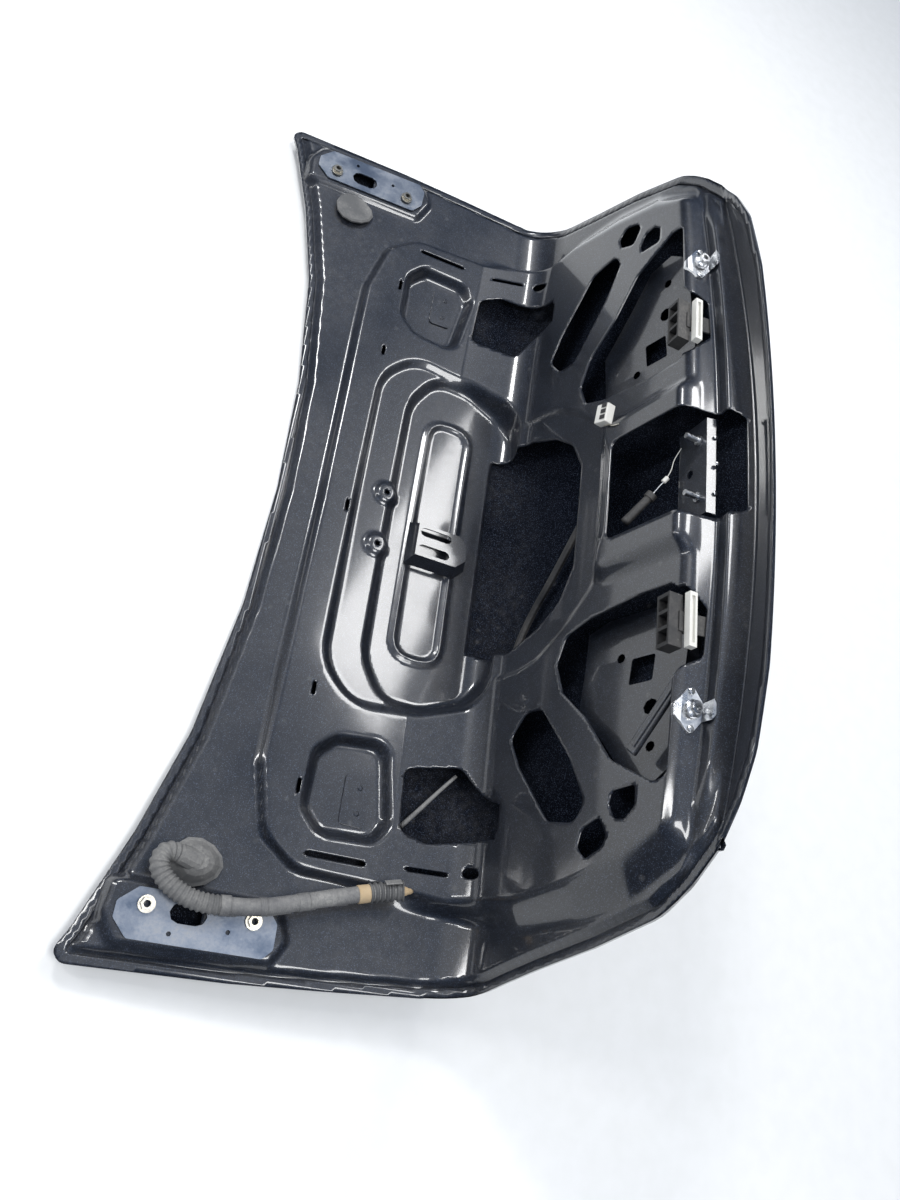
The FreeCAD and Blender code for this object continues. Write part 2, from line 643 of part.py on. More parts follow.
def lamp_panel():
    """Shallow pan inside the rear face, behind the lamp hole, open towards the skin."""
    outer = [(200.0, 188.0), (236.0, 176.0), (356.0, 176.0), (368.0, 200.0), (368.0, 398.0), (340.0, 420.0),
             (300.0, 412.0), (252.0, 356.0), (200.0, 300.0)]
    outline = x_block(outer, outer, 530.0, 640.0, 0.0)
    inner = grown(outer, -lamp_panel_edge / 2)
    pan = outer_block(lamp_panel_gap + sheet).common(outline)
    pan = pan.cut([outer_block(lamp_panel_gap).common(x_block(inner, inner, 530.0, 640.0, 0.0)),
                   outer_block(skin + seat_gap)])
    window_z, window_y, half = 300.0, 262.0, 19.0
    square = [(window_z - half, window_y - half), (window_z + half, window_y - half),
              (window_z + half, window_y + half), (window_z - half, window_y + half)]
    cuts = [x_block(square, square, 530.0, 640.0, 3.0)]
    for z, y, r in ((322.0, 318.0, 11.0), (262.0, 238.0, 7.0), (330.0, 372.0, 7.0)):
        ring = [(z + r * math.cos(math.radians(45.0 * k)), y + r * math.sin(math.radians(45.0 * k)))
                for k in range(8)]
        cuts.append(x_block(ring, ring, 530.0, 640.0, 0.0))
    return pan.cut(cuts)


def lamp_connector(bracket):
    z = max(top_of(bracket, x, 235.0) for x in (574.0, 584.0)) + seat_gap
    bar = Part.makeBox(11.0, 72.0, 10.0, V(573.6, 197.0, z))
    return bar.cut(Part.makeBox(5.0, 62.0, 5.0, V(576.6, 202.0, z + 6.0)))


def main():
    os.makedirs("parts", exist_ok=True)
    panel = inner_panel()
    nodes = {"inner_panel": panel, "outer_skin": outer_skin()}
    plate = hinge_plate("left")
    bump = bump_plate()
    for side in ("left", "right"):
        nodes["hinge_plate_" + side] = put(plate, side)
        nodes["hinge_nut_front_" + side] = put(hinge_nut(plate, 0), side)
        nodes["hinge_nut_rear_" + side] = put(hinge_nut(plate, 1), side)
        nodes["pocket_bracket_" + side] = put(pocket_bracket(), side)
        nodes["bump_plate_" + side] = put(bump, side)
        nodes["bump_bushing_" + side] = put(bushing(bump), side)
        nodes["bump_rivet_inner_" + side] = put(bump_rivet(bump, -1), side)
        nodes["bump_rivet_outer_" + side] = put(bump_rivet(bump, 1), side)
        nodes["lamp_panel_" + side] = put(lamp_panel(), side)
        nodes["lamp_bracket_" + side] = put(lamp_bracket(), side)
        nodes["lamp_connector_" + side] = put(lamp_connector(lamp_bracket()), side)
    nodes["blanking_plug"] = blanking_plug()
    nodes["wiring_grommet"] = wiring_grommet()
    nodes["centre_bracket"] = centre_bracket()
    nodes["latch_plate"] = latch_plate()
    nodes["latch_stud_left"] = latch_stud(1)
    nodes["latch_stud_right"] = latch_stud(-1)
    nodes["wiring_conduit"] = tube(conduit_route, conduit_radius, "wiring_conduit")
    nodes["wiring_sleeve"] = tube(sleeve_route, sleeve_radius, "wiring_sleeve")
    nodes["wiring_boot"] = tube(boot_route, conduit_radius, "wiring_boot")
    nodes["inner_harness"] = tube(harness_route, 6.0, "inner_harness")
    box = nodes["outer_skin"].optimalBoundingBox()
    shift = V(-(box.XMin + box.XMax) / 2, 0.0, -box.ZMin)
    print("origin moved by", [round(a, 4) for a in shift], "size", box.XLength, box.YLength, box.ZLength)
    for name, shape in nodes.items():
        shape.translate(shift)
        print(name, "valid", shape.isValid(), "solids", len(shape.Solids), "volume", round(shape.Volume, 1))
        shape.exportStep("parts/" + name + ".step")


main()
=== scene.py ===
import bpy, json, math
import numpy as np
from mathutils import Matrix, Vector


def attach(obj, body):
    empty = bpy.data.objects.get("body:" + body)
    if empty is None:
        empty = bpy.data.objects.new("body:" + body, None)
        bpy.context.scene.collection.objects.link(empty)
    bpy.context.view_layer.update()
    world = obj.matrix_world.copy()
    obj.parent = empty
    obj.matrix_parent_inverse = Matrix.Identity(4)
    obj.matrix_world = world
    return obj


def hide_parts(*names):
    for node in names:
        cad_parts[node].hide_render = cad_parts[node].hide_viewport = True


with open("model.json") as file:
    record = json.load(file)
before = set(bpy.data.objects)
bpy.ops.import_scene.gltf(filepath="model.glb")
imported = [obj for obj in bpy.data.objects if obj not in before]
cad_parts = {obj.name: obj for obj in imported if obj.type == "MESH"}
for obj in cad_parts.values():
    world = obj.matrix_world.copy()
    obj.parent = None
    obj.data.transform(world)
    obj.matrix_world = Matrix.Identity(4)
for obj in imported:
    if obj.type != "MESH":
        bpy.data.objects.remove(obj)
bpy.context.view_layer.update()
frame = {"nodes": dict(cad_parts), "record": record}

scene = bpy.context.scene
rng = np.random.default_rng(7)

# Shapes are written in the lid's own millimetres; the row's frame is the same one moved along X and Z.
origin = {"x": -329.3486, "z": 22.6}


def place(p):
    return ((p[0] + origin["x"]) / 1000, p[1] / 1000, (p[2] + origin["z"]) / 1000)


# Shader nodes
class Nodes:
    def __init__(self, tree):
        self.tree = tree
        self.links = tree.links

    def add(self, kind, inputs=None, **settings):
        node = self.tree.nodes.new(kind)
        for key, value in settings.items():
            setattr(node, key, value)
        for key, value in (inputs or {}).items():
            if isinstance(value, bpy.types.NodeSocket):
                self.links.new(value, node.inputs[key])
            else:
                node.inputs[key].default_value = value
        return node

    def math(self, operation, a, b=0.0, clamp=False):
        return self.add("ShaderNodeMath", {0: a, 1: b}, operation=operation, use_clamp=clamp).outputs[0]

    def ramp(self, value, low, high, a=0.0, b=1.0):
        node = self.add("ShaderNodeMapRange", {"Value": value, "From Min": low, "From Max": high,
                                               "To Min": a, "To Max": b})
        return node.outputs[0]

    def mix(self, factor, a, b):
        node = self.add("ShaderNodeMix", {0: factor, 6: a, 7: b}, data_type="RGBA")
        return node.outputs[2]


wearLook = {
    "cloud": {"Scale": 6.0, "Detail": 7.0, "Roughness": 0.62},
    "fine": {"Scale": 90.0, "Detail": 5.0, "Roughness": 0.7},
    "streaks": {"Scale": 4.0, "Detail": 6.0, "Roughness": 0.75},
    "streakStretch": {"Scale": (5.0, 55.0, 26.0), "Rotation": (0.3, 0.2, 0.5)},
    "spots": {"Scale": 42.0, "Randomness": 1.0},
}


# Masks that every finish shares: settled dust, rubbed streaks, dried drops, mottle and a bump height
def makeWearGroup():
    group = bpy.data.node_groups.new("surfaceWear", "ShaderNodeTree")
    face = group.interface
    for name, value in (("Scale", 1.0), ("Dust", 0.3), ("Seed", 0.0)):
        face.new_socket(name, in_out="INPUT", socket_type="NodeSocketFloat").default_value = value
    for name in ("Dust", "Streaks", "Spots", "Mottle", "Height"):
        face.new_socket(name, in_out="OUTPUT", socket_type="NodeSocketFloat")
    n = Nodes(group)
    start = n.add("NodeGroupInput")
    end = n.add("NodeGroupOutput")
    coords = n.add("ShaderNodeTexCoord").outputs["Object"]
    shifted = n.add("ShaderNodeVectorMath", {0: coords, 1: start.outputs["Seed"]}, operation="ADD").outputs[0]
    scale = start.outputs["Scale"]
    p = n.add("ShaderNodeVectorMath", {0: shifted, "Scale": scale}, operation="SCALE").outputs[0]
    cloud = n.add("ShaderNodeTexNoise", {"Vector": p, **wearLook["cloud"]}).outputs[0]
    fine = n.add("ShaderNodeTexNoise", {"Vector": p, **wearLook["fine"]}).outputs[0]
    up = n.add("ShaderNodeSeparateXYZ", {0: n.add("ShaderNodeNewGeometry").outputs["Normal"]}).outputs[2]
    settled = n.math("MULTIPLY", n.ramp(cloud, 0.38, 0.7), n.ramp(fine, 0.3, 0.75))
    settled = n.math("MULTIPLY", settled, n.math("ADD", n.ramp(up, 0.2, 1.0), 0.25))
    n.links.new(n.math("MULTIPLY", settled, start.outputs["Dust"], True), end.inputs["Dust"])
    stretched = n.add("ShaderNodeMapping", {"Vector": p, **wearLook["streakStretch"]}).outputs[0]
    lines = n.add("ShaderNodeTexNoise", {"Vector": stretched, **wearLook["streaks"]}).outputs[0]
    streaks = n.math("MULTIPLY", n.ramp(lines, 0.64, 0.74), n.ramp(cloud, 0.45, 0.6))
    n.links.new(streaks, end.inputs["Streaks"])
    cells = n.add("ShaderNodeTexVoronoi", {"Vector": p, **wearLook["spots"]})
    chosen = n.add("ShaderNodeSeparateXYZ", {0: cells.outputs["Color"]}).outputs[0]
    drops = n.math("MULTIPLY", n.ramp(cells.outputs["Distance"], 0.20, 0.08), n.ramp(chosen, 0.82, 0.86))
    n.links.new(drops, end.inputs["Spots"])
    n.links.new(cloud, end.inputs["Mottle"])
    height = n.math("ADD", n.math("MULTIPLY", fine, 0.6), n.math("MULTIPLY", cloud, 0.4))
    n.links.new(height, end.inputs["Height"])
    return group


wearGroup = makeWearGroup()
plain = {"scale": 1.0, "dust": 0.4, "seed": 0.0, "dustColour": (0.27, 0.25, 0.225), "streaks": 0.25,
         "spots": 0.12, "roughSpread": 0.12, "metallic": 0.0, "coat": 0.0, "flakes": 0.0, "weave": 0.0,
         "bump": 0.12, "dullInsideAsShade": False}
flakeColour = (0.16, 0.2, 0.3, 1)
streakColour = (0.42, 0.42, 0.43, 1)
spotColour = (0.5, 0.48, 0.45, 1)


# The inside setting keeps the coat on the back faces, here the skin's outer side, and takes coat and shine
# off the others, the skin's inner side, which darkens them as painted shade inside the lid.
def makeSurface(name, own):
    s = {**plain, **own}
    material = bpy.data.materials.new(name)
    material.use_nodes = True
    n = Nodes(material.node_tree)
    shader = material.node_tree.nodes["Principled BSDF"]
    wear = n.add("ShaderNodeGroup", node_tree=wearGroup)
    wear.inputs["Scale"].default_value = s["scale"]
    wear.inputs["Dust"].default_value = s["dust"]
    wear.inputs["Seed"].default_value = s["seed"]
    out = wear.outputs
    colour = n.mix(n.ramp(out["Mottle"], 0.35, 0.68), (*s["colour"], 1), (*s["second"], 1))
    if s["flakes"]:
        cells = n.add("ShaderNodeTexVoronoi", {"Scale": 1400.0, "Randomness": 1.0,
                                               "Vector": n.add("ShaderNodeTexCoord").outputs["Object"]})
        spark = n.ramp(n.add("ShaderNodeSeparateXYZ", {0: cells.outputs["Color"]}).outputs[1], 0.86, 1.0)
        colour = n.mix(n.math("MULTIPLY", spark, s["flakes"]), colour, flakeColour)
    colour = n.mix(out["Dust"], colour, (*s["dustColour"], 1))
    colour = n.mix(n.math("MULTIPLY", out["Streaks"], s["streaks"]), colour, streakColour)
    colour = n.mix(n.math("MULTIPLY", out["Spots"], s["spots"]), colour, spotColour)
    n.links.new(colour, shader.inputs["Base Color"])
    rough = n.math("ADD", n.ramp(out["Mottle"], 0.3, 0.7, s["rough"], s["rough"] + s["roughSpread"]),
                   n.math("MULTIPLY", out["Dust"], 0.55), True)
    shader.inputs["Metallic"].default_value = s["metallic"]
    # Taking coat and shine off the front faces paints shade on the skin's inner side.
    if s["dullInsideAsShade"]:
        outside = n.add("ShaderNodeNewGeometry").outputs["Backfacing"]
        n.links.new(n.math("MULTIPLY", outside, s["coat"]), shader.inputs["Coat Weight"])
        n.links.new(n.math("MULTIPLY", outside, 0.5), shader.inputs["Specular IOR Level"])
        rough = n.math("ADD", rough, n.math("MULTIPLY", n.math("SUBTRACT", 1.0, outside), 0.4), True)
    elif s["coat"]:
        shader.inputs["Coat Weight"].default_value = s["coat"]
        n.links.new(n.ramp(out["Dust"], 0.0, 0.6, 0.07, 0.6), shader.inputs["Coat Roughness"])
    n.links.new(rough, shader.inputs["Roughness"])
    height = out["Height"]
    if s["weave"]:
        wave = n.add("ShaderNodeTexWave", {"Vector": n.add("ShaderNodeTexCoord").outputs["Object"],
                                           "Scale": s["weave"], "Distortion": 2.0, "Detail": 2.0})
        height = n.math("ADD", height, n.math("MULTIPLY", wave.outputs["Fac"], 0.6))
    bump = n.add("ShaderNodeBump", {"Height": height, "Strength": s["bump"], "Distance": 0.001})
    n.links.new(bump.outputs[0], shader.inputs["Normal"])
    return material


surfaces = {
    "body_paint": dict(colour=(0.0035, 0.0045, 0.0075), second=(0.006, 0.008, 0.013), rough=0.32, dust=0.10,
                       coat=1.0, flakes=0.35, bump=0.012, streaks=0.05, spots=0.05),
    # The zinc's dark blue grey is partly the plating's own tint and partly a painted reflection of blue sky.
    "zinc_steel": dict(colour=(0.13, 0.16, 0.21), second=(0.22, 0.25, 0.30), rough=0.30, metallic=0.9,
                       dust=0.5, scale=3.0, bump=0.2, dustColour=(0.5, 0.48, 0.44), seed=3.0, streaks=0.5),
    "nut_steel": dict(colour=(0.40, 0.37, 0.30), second=(0.55, 0.53, 0.48), rough=0.28, metallic=0.95,
                      dust=0.4, scale=4.0, bump=0.2, seed=5.0),
    "bright_steel": dict(colour=(0.56, 0.57, 0.58), second=(0.70, 0.71, 0.72), rough=0.22, metallic=1.0,
                         dust=0.35, scale=4.0, bump=0.12, seed=7.0, streaks=0.4),
    "black_plastic": dict(colour=(0.018, 0.018, 0.019), second=(0.03, 0.03, 0.031), rough=0.5, dust=0.35,
                          scale=3.0, bump=0.15, seed=9.0),
    "white_plastic": dict(colour=(0.62, 0.61, 0.57), second=(0.72, 0.71, 0.67), rough=0.42, dust=0.3,
                          scale=3.0, dustColour=(0.36, 0.33, 0.28), bump=0.1, seed=11.0),
    "grey_rubber": dict(colour=(0.085, 0.086, 0.088), second=(0.13, 0.13, 0.13), rough=0.68, dust=0.75,
                        scale=2.5, dustColour=(0.34, 0.33, 0.31), bump=0.25, seed=13.0),
    "tape": dict(colour=(0.10, 0.10, 0.105), second=(0.17, 0.17, 0.17), rough=0.6, dust=0.9, scale=2.5,
                 bump=0.5, dustColour=(0.36, 0.35, 0.33), weave=120.0, seed=15.0),
    "green_plastic": dict(colour=(0.05, 0.32, 0.12), second=(0.07, 0.40, 0.16), rough=0.4, dust=0.2,
                          scale=3.0, bump=0.1, seed=17.0),
}
materials = {name: makeSurface(name, s) for name, s in surfaces.items()}
tanFoam = makeSurface("tan_foam", dict(colour=(0.42, 0.30, 0.17), second=(0.52, 0.40, 0.25), rough=0.85,
                                       dust=0.4, scale=4.0, bump=0.8, seed=19.0))
# The skin's finish is body paint, with its inner side darkened as painted shade.
skinPaintWithInnerShade = makeSurface("skin_paint_with_inner_shade", dict(surfaces["body_paint"], dullInsideAsShade=True))
slotOf = {piece["node"]: piece["material_slot"] for piece in frame["record"]["subparts"]}
for name, obj in frame["nodes"].items():
    obj.data.materials.clear()
    obj.data.materials.append(materials[slotOf[name]])
print("materials made")


# Outlines and sections
def smooth(a, b, x):
    t = np.clip((x - a) / (b - a), 0.0, 1.0)
    return t * t * (3 - 2 * t)


# The points form a closed outline, and each corner becomes a curve.
def rounded(points, radius, chords=5):
    out = []
    count = len(points)
    for i in range(count):
        p, q, r = (np.array(points[k % count], float) for k in (i - 1, i, i + 1))
        a, b = q - p, r - q
        la, lb = np.hypot(*a), np.hypot(*b)
        a, b = a / la, b / lb
        turn = math.acos(max(-1.0, min(1.0, float(a @ b))))
        if turn < 0.02:
            out.append(tuple(q))
            continue
        reach = min(radius * math.tan(turn / 2), 0.45 * min(la, lb))
        c0, c1 = q - a * reach, q + b * reach
        for k in range(chords + 1):
            t = k / chords
            out.append(tuple((1 - t) ** 2 * c0 + 2 * t * (1 - t) * q + t * t * c1))
    return out


# Signed distance to a closed outline, negative inside
def outlineDistance(px, py, outline):
    best = np.full(px.shape, 1e9)
    inside = np.zeros(px.shape, bool)
    for (ax, ay), (bx, by) in zip(outline[-1:] + outline[:-1], outline):
        ex, ey = bx - ax, by - ay
        length = ex * ex + ey * ey
        if length < 1e-9:
            continue
        t = np.clip(((px - ax) * ex + (py - ay) * ey) / length, 0, 1)
        best = np.minimum(best, (px - ax - t * ex) ** 2 + (py - ay - t * ey) ** 2)
        if ay != by:
            inside ^= ((ay > py) != (by > py)) & (px < ex * (py - ay) / (by - ay) + ax)
    d = np.sqrt(best)
    return np.where(inside, -d, d)


def mirrored(half):
    return half + [(a, -b) for a, b in reversed(half)]


# Rows of points on an arc that joins the lines p-q and q-r
def arcRows(p, q, r, radius, count):
    a = q - p
    b = r - q
    a /= np.linalg.norm(a, axis=1, keepdims=True)
    b /= np.linalg.norm(b, axis=1, keepdims=True)
    sign = np.sign(a[:, 0] * b[:, 1] - a[:, 1] * b[:, 0])
    turn = np.arccos(np.clip((a * b).sum(1), -1, 1))
    start = q - a * (radius * np.tan(turn / 2))[:, None]
    normal = np.stack([-a[:, 1], a[:, 0]], 1) * sign[:, None]
    middle = start + normal * radius
    rows = []
    for k in range(count + 1):
        angle = sign * turn * k / count
        v = start - middle
        c, s = np.cos(angle), np.sin(angle)
        rows.append(middle + np.stack([c * v[:, 0] - s * v[:, 1], s * v[:, 0] + c * v[:, 1]], 1))
    return rows


def lineRows(a, b, count, last=False):
    return [a + (b - a) * (k / count) for k in range(count + (1 if last else 0))]


# A pair such as wallEnd's holds the place on the middle line and how far it moves towards the sides.
lid = {
    "deck": -22.6, "corner": 536.3, "lean": 0.259, "crown": 30.5, "growth": 0.095, "growthFrom": 106.0,
    "bend": 90.0, "lipStart": 443.0, "lipEnd": 488.0, "tuck": 14.0, "rearCrown": 85.0, "ring": 26.0,
    "fold": 458.0, "halfWidth": 700.0, "cornerIn": 27.0, "cornerUp": 69.0, "wallEnd": (385.0, -20.0),
}
ringPoints = {
    "foot": ((500.0, -15.0), (33.0, 66.0)),
    "top": ((575.16, -30.0), (406.9, -20.0)),
    "shelfEnd": ((615.5, -60.0), (415.0, -22.0)),
    "stepTop": ((614.7, -60.0), (435.0, -22.0)),
    "stripFar": ((672.5, -45.0), (446.4, -25.4)),
}
ringBends = {"foot": 55.0, "top": 22.0, "shelfEnd": 5.0, "stepTop": 4.0}
ringCounts = {"top": 9, "shelfEnd": 4, "stepTop": 4, "shelf": 9, "step": 4, "strip": 10}
planHalf = [(129.1, 0.0), (121.5, 200.0), (95.3, 400.0), (58.5, 540.0), (16.0, 662.0), (3.0, 688.0),
            (14.0, 701.5), (208.0, 697.0), (330.0, 690.0), (458.0, 681.0)]
rearHalf = [(-200.0, 681.0), (36.0, 681.0), (75.0, 671.0), (124.0, 653.5), (183.0, 634.0), (275.0, 606.0),
            (365.0, 572.0), (400.0, 540.0), (428.0, 500.0), (457.0, 453.0), (477.0, 400.0), (488.0, 300.0)]
# Half outlines are closed here, beyond the rear and the middle line.
past = {"x": 900.0, "y": -60.0}


def pair(x, z):
    return np.stack([x + 0 * z, z + 0 * x], 1)


# Rows of points along the skin and along the raised ring, the same number of each, and the first rows of
# the wall and of the shelf. The counts are those of the deck's end, the bend, the wall and the lip.
def sectionRows(y, xs, counts, height=0.0):
    u = (y / lid["halfWidth"]) ** 2
    deckCount, arcCount, wallCount, lipCount = counts

    def deckAt(x):
        return lid["deck"] + (lid["crown"] + (x - lid["growthFrom"]) * lid["growth"]) * u

    skin = [pair(x + 0 * u, deckAt(x) + height) for x in xs]
    ring = [pair(x + 0 * u, deckAt(x) + lid["ring"]) for x in xs]
    corner = pair(lid["corner"] - height * 0.77 - lid["cornerIn"] * u,
                  lid["deck"] + height + lid["cornerUp"] * u)
    lipX = lid["corner"] + lid["lean"] * (lid["lipStart"] - lid["deck"]) - height - lid["rearCrown"] * u
    lip = pair(lipX, lid["lipStart"] + 0 * u)
    end = pair(lipX - lid["tuck"], lid["lipEnd"] + 0 * u)
    arc = arcRows(skin[0], corner, lip, lid["bend"] - height, arcCount)
    skin += lineRows(skin[-1], arc[0], deckCount)[1:] + arc

    foot, top, shelfEnd, stepTop, stripFar = (pair(x + dx * u, z + dz * u)
                                              for (x, dx), (z, dz) in ringPoints.values())
    part = (lipX - 3.0 - stepTop[:, 0]) / (stripFar[:, 0] - stepTop[:, 0])
    stripEnd = stepTop + (stripFar - stepTop) * part[:, None]
    bend = arcRows(ring[-1], foot, top, ringBends["foot"], arcCount)
    ring += lineRows(ring[-1], bend[0], deckCount)[1:] + bend
    shelfArc = arcRows(foot, top, shelfEnd, ringBends["top"], ringCounts["top"])
    stepArc = arcRows(top, shelfEnd, stepTop, ringBends["shelfEnd"], ringCounts["shelfEnd"])
    stripArc = arcRows(shelfEnd, stepTop, stripFar, ringBends["stepTop"], ringCounts["stepTop"])
    ring += lineRows(bend[-1], shelfArc[0], wallCount)[1:] + shelfArc
    ring += lineRows(shelfArc[-1], stepArc[0], ringCounts["shelf"])[1:] + stepArc
    ring += lineRows(stepArc[-1], stripArc[0], ringCounts["step"])[1:] + stripArc
    ring += lineRows(stripArc[-1], stripEnd, ringCounts["strip"], True)[1:]
    restCount = len(ring) - len(xs) - (deckCount - 1) - (arcCount + 1) - (wallCount - 1)

    wallHigh = lip[:, 1] - arc[-1][:, 1]
    wallPart = (lid["wallEnd"][0] - arc[-1][:, 1] + lid["wallEnd"][1] * u) / wallHigh
    wallEnd = arc[-1] + (lip - arc[-1]) * wallPart[:, None]
    lastOnSkin = arc[-1] + (lip - arc[-1]) * ((stripEnd[:, 1] - arc[-1][:, 1]) / wallHigh)[:, None]
    skin += lineRows(arc[-1], wallEnd, wallCount)[1:]
    skin += lineRows(wallEnd, lastOnSkin, restCount - 1, True)
    lipRows = lineRows(lastOnSkin, end, lipCount, True)[1:]
    skin += lipRows
    ring += [p + np.array([-3.0, 0.0]) for p in lipRows]
    wallStart = len(xs) + deckCount - 1
    return np.array(skin), np.array(ring), wallStart, wallStart + arcCount + wallCount


# Sorted grid lines from (start, stop, step) stretches
def gridLines(stretches):
    lines = [stretches[-1][1]]
    for a, b, step in stretches:
        lines += list(np.arange(a, b - 1e-6, step))
    return np.array(sorted(set(np.round(lines, 4))))


# How far in from the lid's edge a point is: by its plan on the deck, by its rear outline on the wall
def edgeDistance(x, y, z, onDeck):
    side = np.abs(y)
    planClose = [(past["x"], 681.0), (past["x"], past["y"]), (129.1, past["y"])]
    plan = rounded(planHalf + planClose, 50.0)
    rear = rounded(rearHalf + [(488.0, past["y"]), (-200.0, past["y"])], 60.0)
    return np.where(onDeck, -outlineDistance(x, side, plan), -outlineDistance(z, side, rear))


def finishPiece(name, mesh, slotName, material=None, flat=False):
    obj = bpy.data.objects.new(name, mesh)
    scene.collection.objects.link(obj)
    mesh.polygons.foreach_set("use_smooth", [not flat] * len(mesh.polygons))
    mesh.materials.append(material or materials[slotName])
    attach(obj, "root")
    return obj


# Moves the grid points nearest to the border of the metal onto it, along both directions of the grid.
def snapToBorder(points, keep):
    rows, cols = keep.shape
    moved = np.zeros_like(points)
    weight = np.zeros(keep.shape)
    for a, b in (((slice(0, rows - 1), slice(None)), (slice(1, rows), slice(None))),
                 ((slice(None), slice(0, cols - 1)), (slice(None), slice(1, cols)))):
        fa, fb = keep[a], keep[b]
        cross = (fa * fb) < 0
        total = np.abs(fa) + np.abs(fb) + 1e-9
        nearA = cross & (np.abs(fa) <= np.abs(fb))
        nearB = cross & ~nearA
        step = points[b] - points[a]
        moved[a] += np.where(nearA[..., None], step * (np.abs(fa) / total)[..., None], 0)
        weight[a] += nearA
        moved[b] -= np.where(nearB[..., None], step * (np.abs(fb) / total)[..., None], 0)
        weight[b] += nearB
    return points + moved / np.maximum(weight, 1)[..., None], weight


# Painted sheet from a grid of points and a field that is positive where there is metal, with a turned rim
def gridSheet(name, points, keep, rim, material=None):
    rows, cols = keep.shape
    p, weight = snapToBorder(points, keep)
    outside, border, metal = 0, 1, 2
    state = np.where(weight > 0, border, np.where(keep > 0, metal, outside))
    index = np.arange(rows * cols).reshape(rows, cols)
    quads = np.stack([index[:-1, :-1], index[1:, :-1], index[1:, 1:], index[:-1, 1:]], -1).reshape(-1, 4)
    s = state.reshape(-1)[quads]
    kept = (s > outside).all(1)
    whole = kept & ((s == metal).any(1) | (keep.reshape(-1)[quads].sum(1) > 0))
    faces = [tuple(f) for f in quads[whole]]
    cut = ((s == outside).sum(1) == 1) & (s == metal).any(1)
    faces += [tuple(v for v, k in zip(f, corner) if k) for f, corner in zip(quads[cut], s[cut])]

    flatPoints = p.reshape(-1, 3)
    edges = {}
    for f in faces:
        for a, b in zip(f, f[1:] + f[:1]):
            if (b, a) in edges:
                del edges[(b, a)]
            else:
                edges[(a, b)] = True
    turned = {}
    verts = list(map(tuple, flatPoints))
    for a, b in edges:
        for v in (a, b):
            if v not in turned:
                turned[v] = len(verts)
                verts.append(tuple(flatPoints[v] + rim.reshape(-1, 3)[v]))
        faces.append((b, a, turned[a], turned[b]))
    used = sorted({v for f in faces for v in f})
    number = {v: k for k, v in enumerate(used)}
    mesh = bpy.data.meshes.new(name)
    mesh.from_pydata([place(verts[v]) for v in used], [], [tuple(number[v] for v in f) for f in faces])
    mesh.update()
    return finishPiece(name, mesh, "body_paint", material)


# Inner panel
panel = {
    "flange": 2.5, "band": 13.0, "bandFade": (14.5, 21.5), "ringFade": (-1.0, 9.0), "ringRadius": 40.0,
    "edgeCut": 1.6, "rim": 3.0, "lowRim": 0.3, "lowRimUnder": 6.0, "mixFade": (380.0, 457.0),
    "ys": [(-702, -536, 4), (-536, -520, 2), (-520, -60, 4), (-60, -34, 2.6), (-34, 34, 4), (34, 60, 2.6),
           (60, 520, 4), (520, 536, 2), (536, 702, 4)],
    "xs": [(0, 232, 4.5), (232, 250, 2.4), (250, 290, 4), (290, 304, 2.6), (304, 385, 4)],
    "counts": (18, 20, 74, 12), "wallLag": 8, "frontCut": 476.0, "shelfOver": 380.0, "deckUnder": 110.0,
}
ringPlan = [(199.0, 0.0), (193.0, 420.0), (215.0, 512.0), (262.0, 548.0), (458.0, 556.0)]
sideNear = [(-100, 556), (30, 556), (150, 552), (250, 530), (330, 505), (398, 470), (425, 392), (462, 330),
            (500, 300)]
sideFar = [(-100, 575), (30, 580), (150, 596), (250, 588), (330, 566), (412, 500), (450, 400), (476, 330),
           (500, 305)]
recesses = {
    "field": {"height": 19.0, "radius": 90.0,
              "half": [(248.0, 258.0), (300.0, 312.0), (400.0, 303.0), (480.0, 272.0), (520.0, 240.0)]},
    "floor": {"height": 9.0, "radius": 90.0,
              "half": [(308.0, 232.0), (345.0, 293.0), (410.0, 294.0), (478.0, 262.0), (520.0, 215.0)]},
    "pocket": {"height": 7.0, "radius": 26.0,
               "half": [(262.0, 392.0), (290.0, 367.0), (362.0, 360.0), (378.0, 470.0), (360.0, 497.0),
                        (285.0, 499.0), (259.0, 470.0)]},
}
recessFade = {"side": 8.0, "wall": (478.0, 506.0)}
bead = {"outline": [(350.5, 216.5), (428.5, 216.5), (428.5, -216.5), (350.5, -216.5)], "radius": 36.0,
        "rise": 4.0, "fade": (1.5, 7.0)}
hingePad = {"outline": [(44.0, 596.0), (250.0, 600.0), (268.0, 640.0), (250.0, 670.0), (60.0, 672.0),
                        (40.0, 640.0)], "radius": 12.0, "height": 22.0, "fade": (-6.0, 6.0)}
boss = {"x": 297.0, "y": 47.0, "height": 25.0, "fade": (13.0, 22.0)}
latchPad = {"outline": [(251.0, 125.0), (460.0, 127.0), (460.0, -127.0), (251.0, -127.0)], "radius": 20.0,
            "rise": 16.0, "fade": (-14.0, 14.0), "shelfFade": (572.0, 592.0), "upToX": 596.0}
fold = {"half": [(-60.0, 236.0), (32.0, 232.0), (101.0, 231.0), (140.0, 221.0), (187.0, 188.0),
                 (237.0, 138.0), (270.0, 67.0)], "radius": 40.0, "depth": 4.0, "fade": (-5.0, 4.0),
        "wallFade": (492.0, 508.0), "upToZ": 300}


def box(x, y, length, width):
    return [(x - length / 2, y - width / 2), (x + length / 2, y - width / 2),
            (x + length / 2, y + width / 2), (x - length / 2, y + width / 2)]


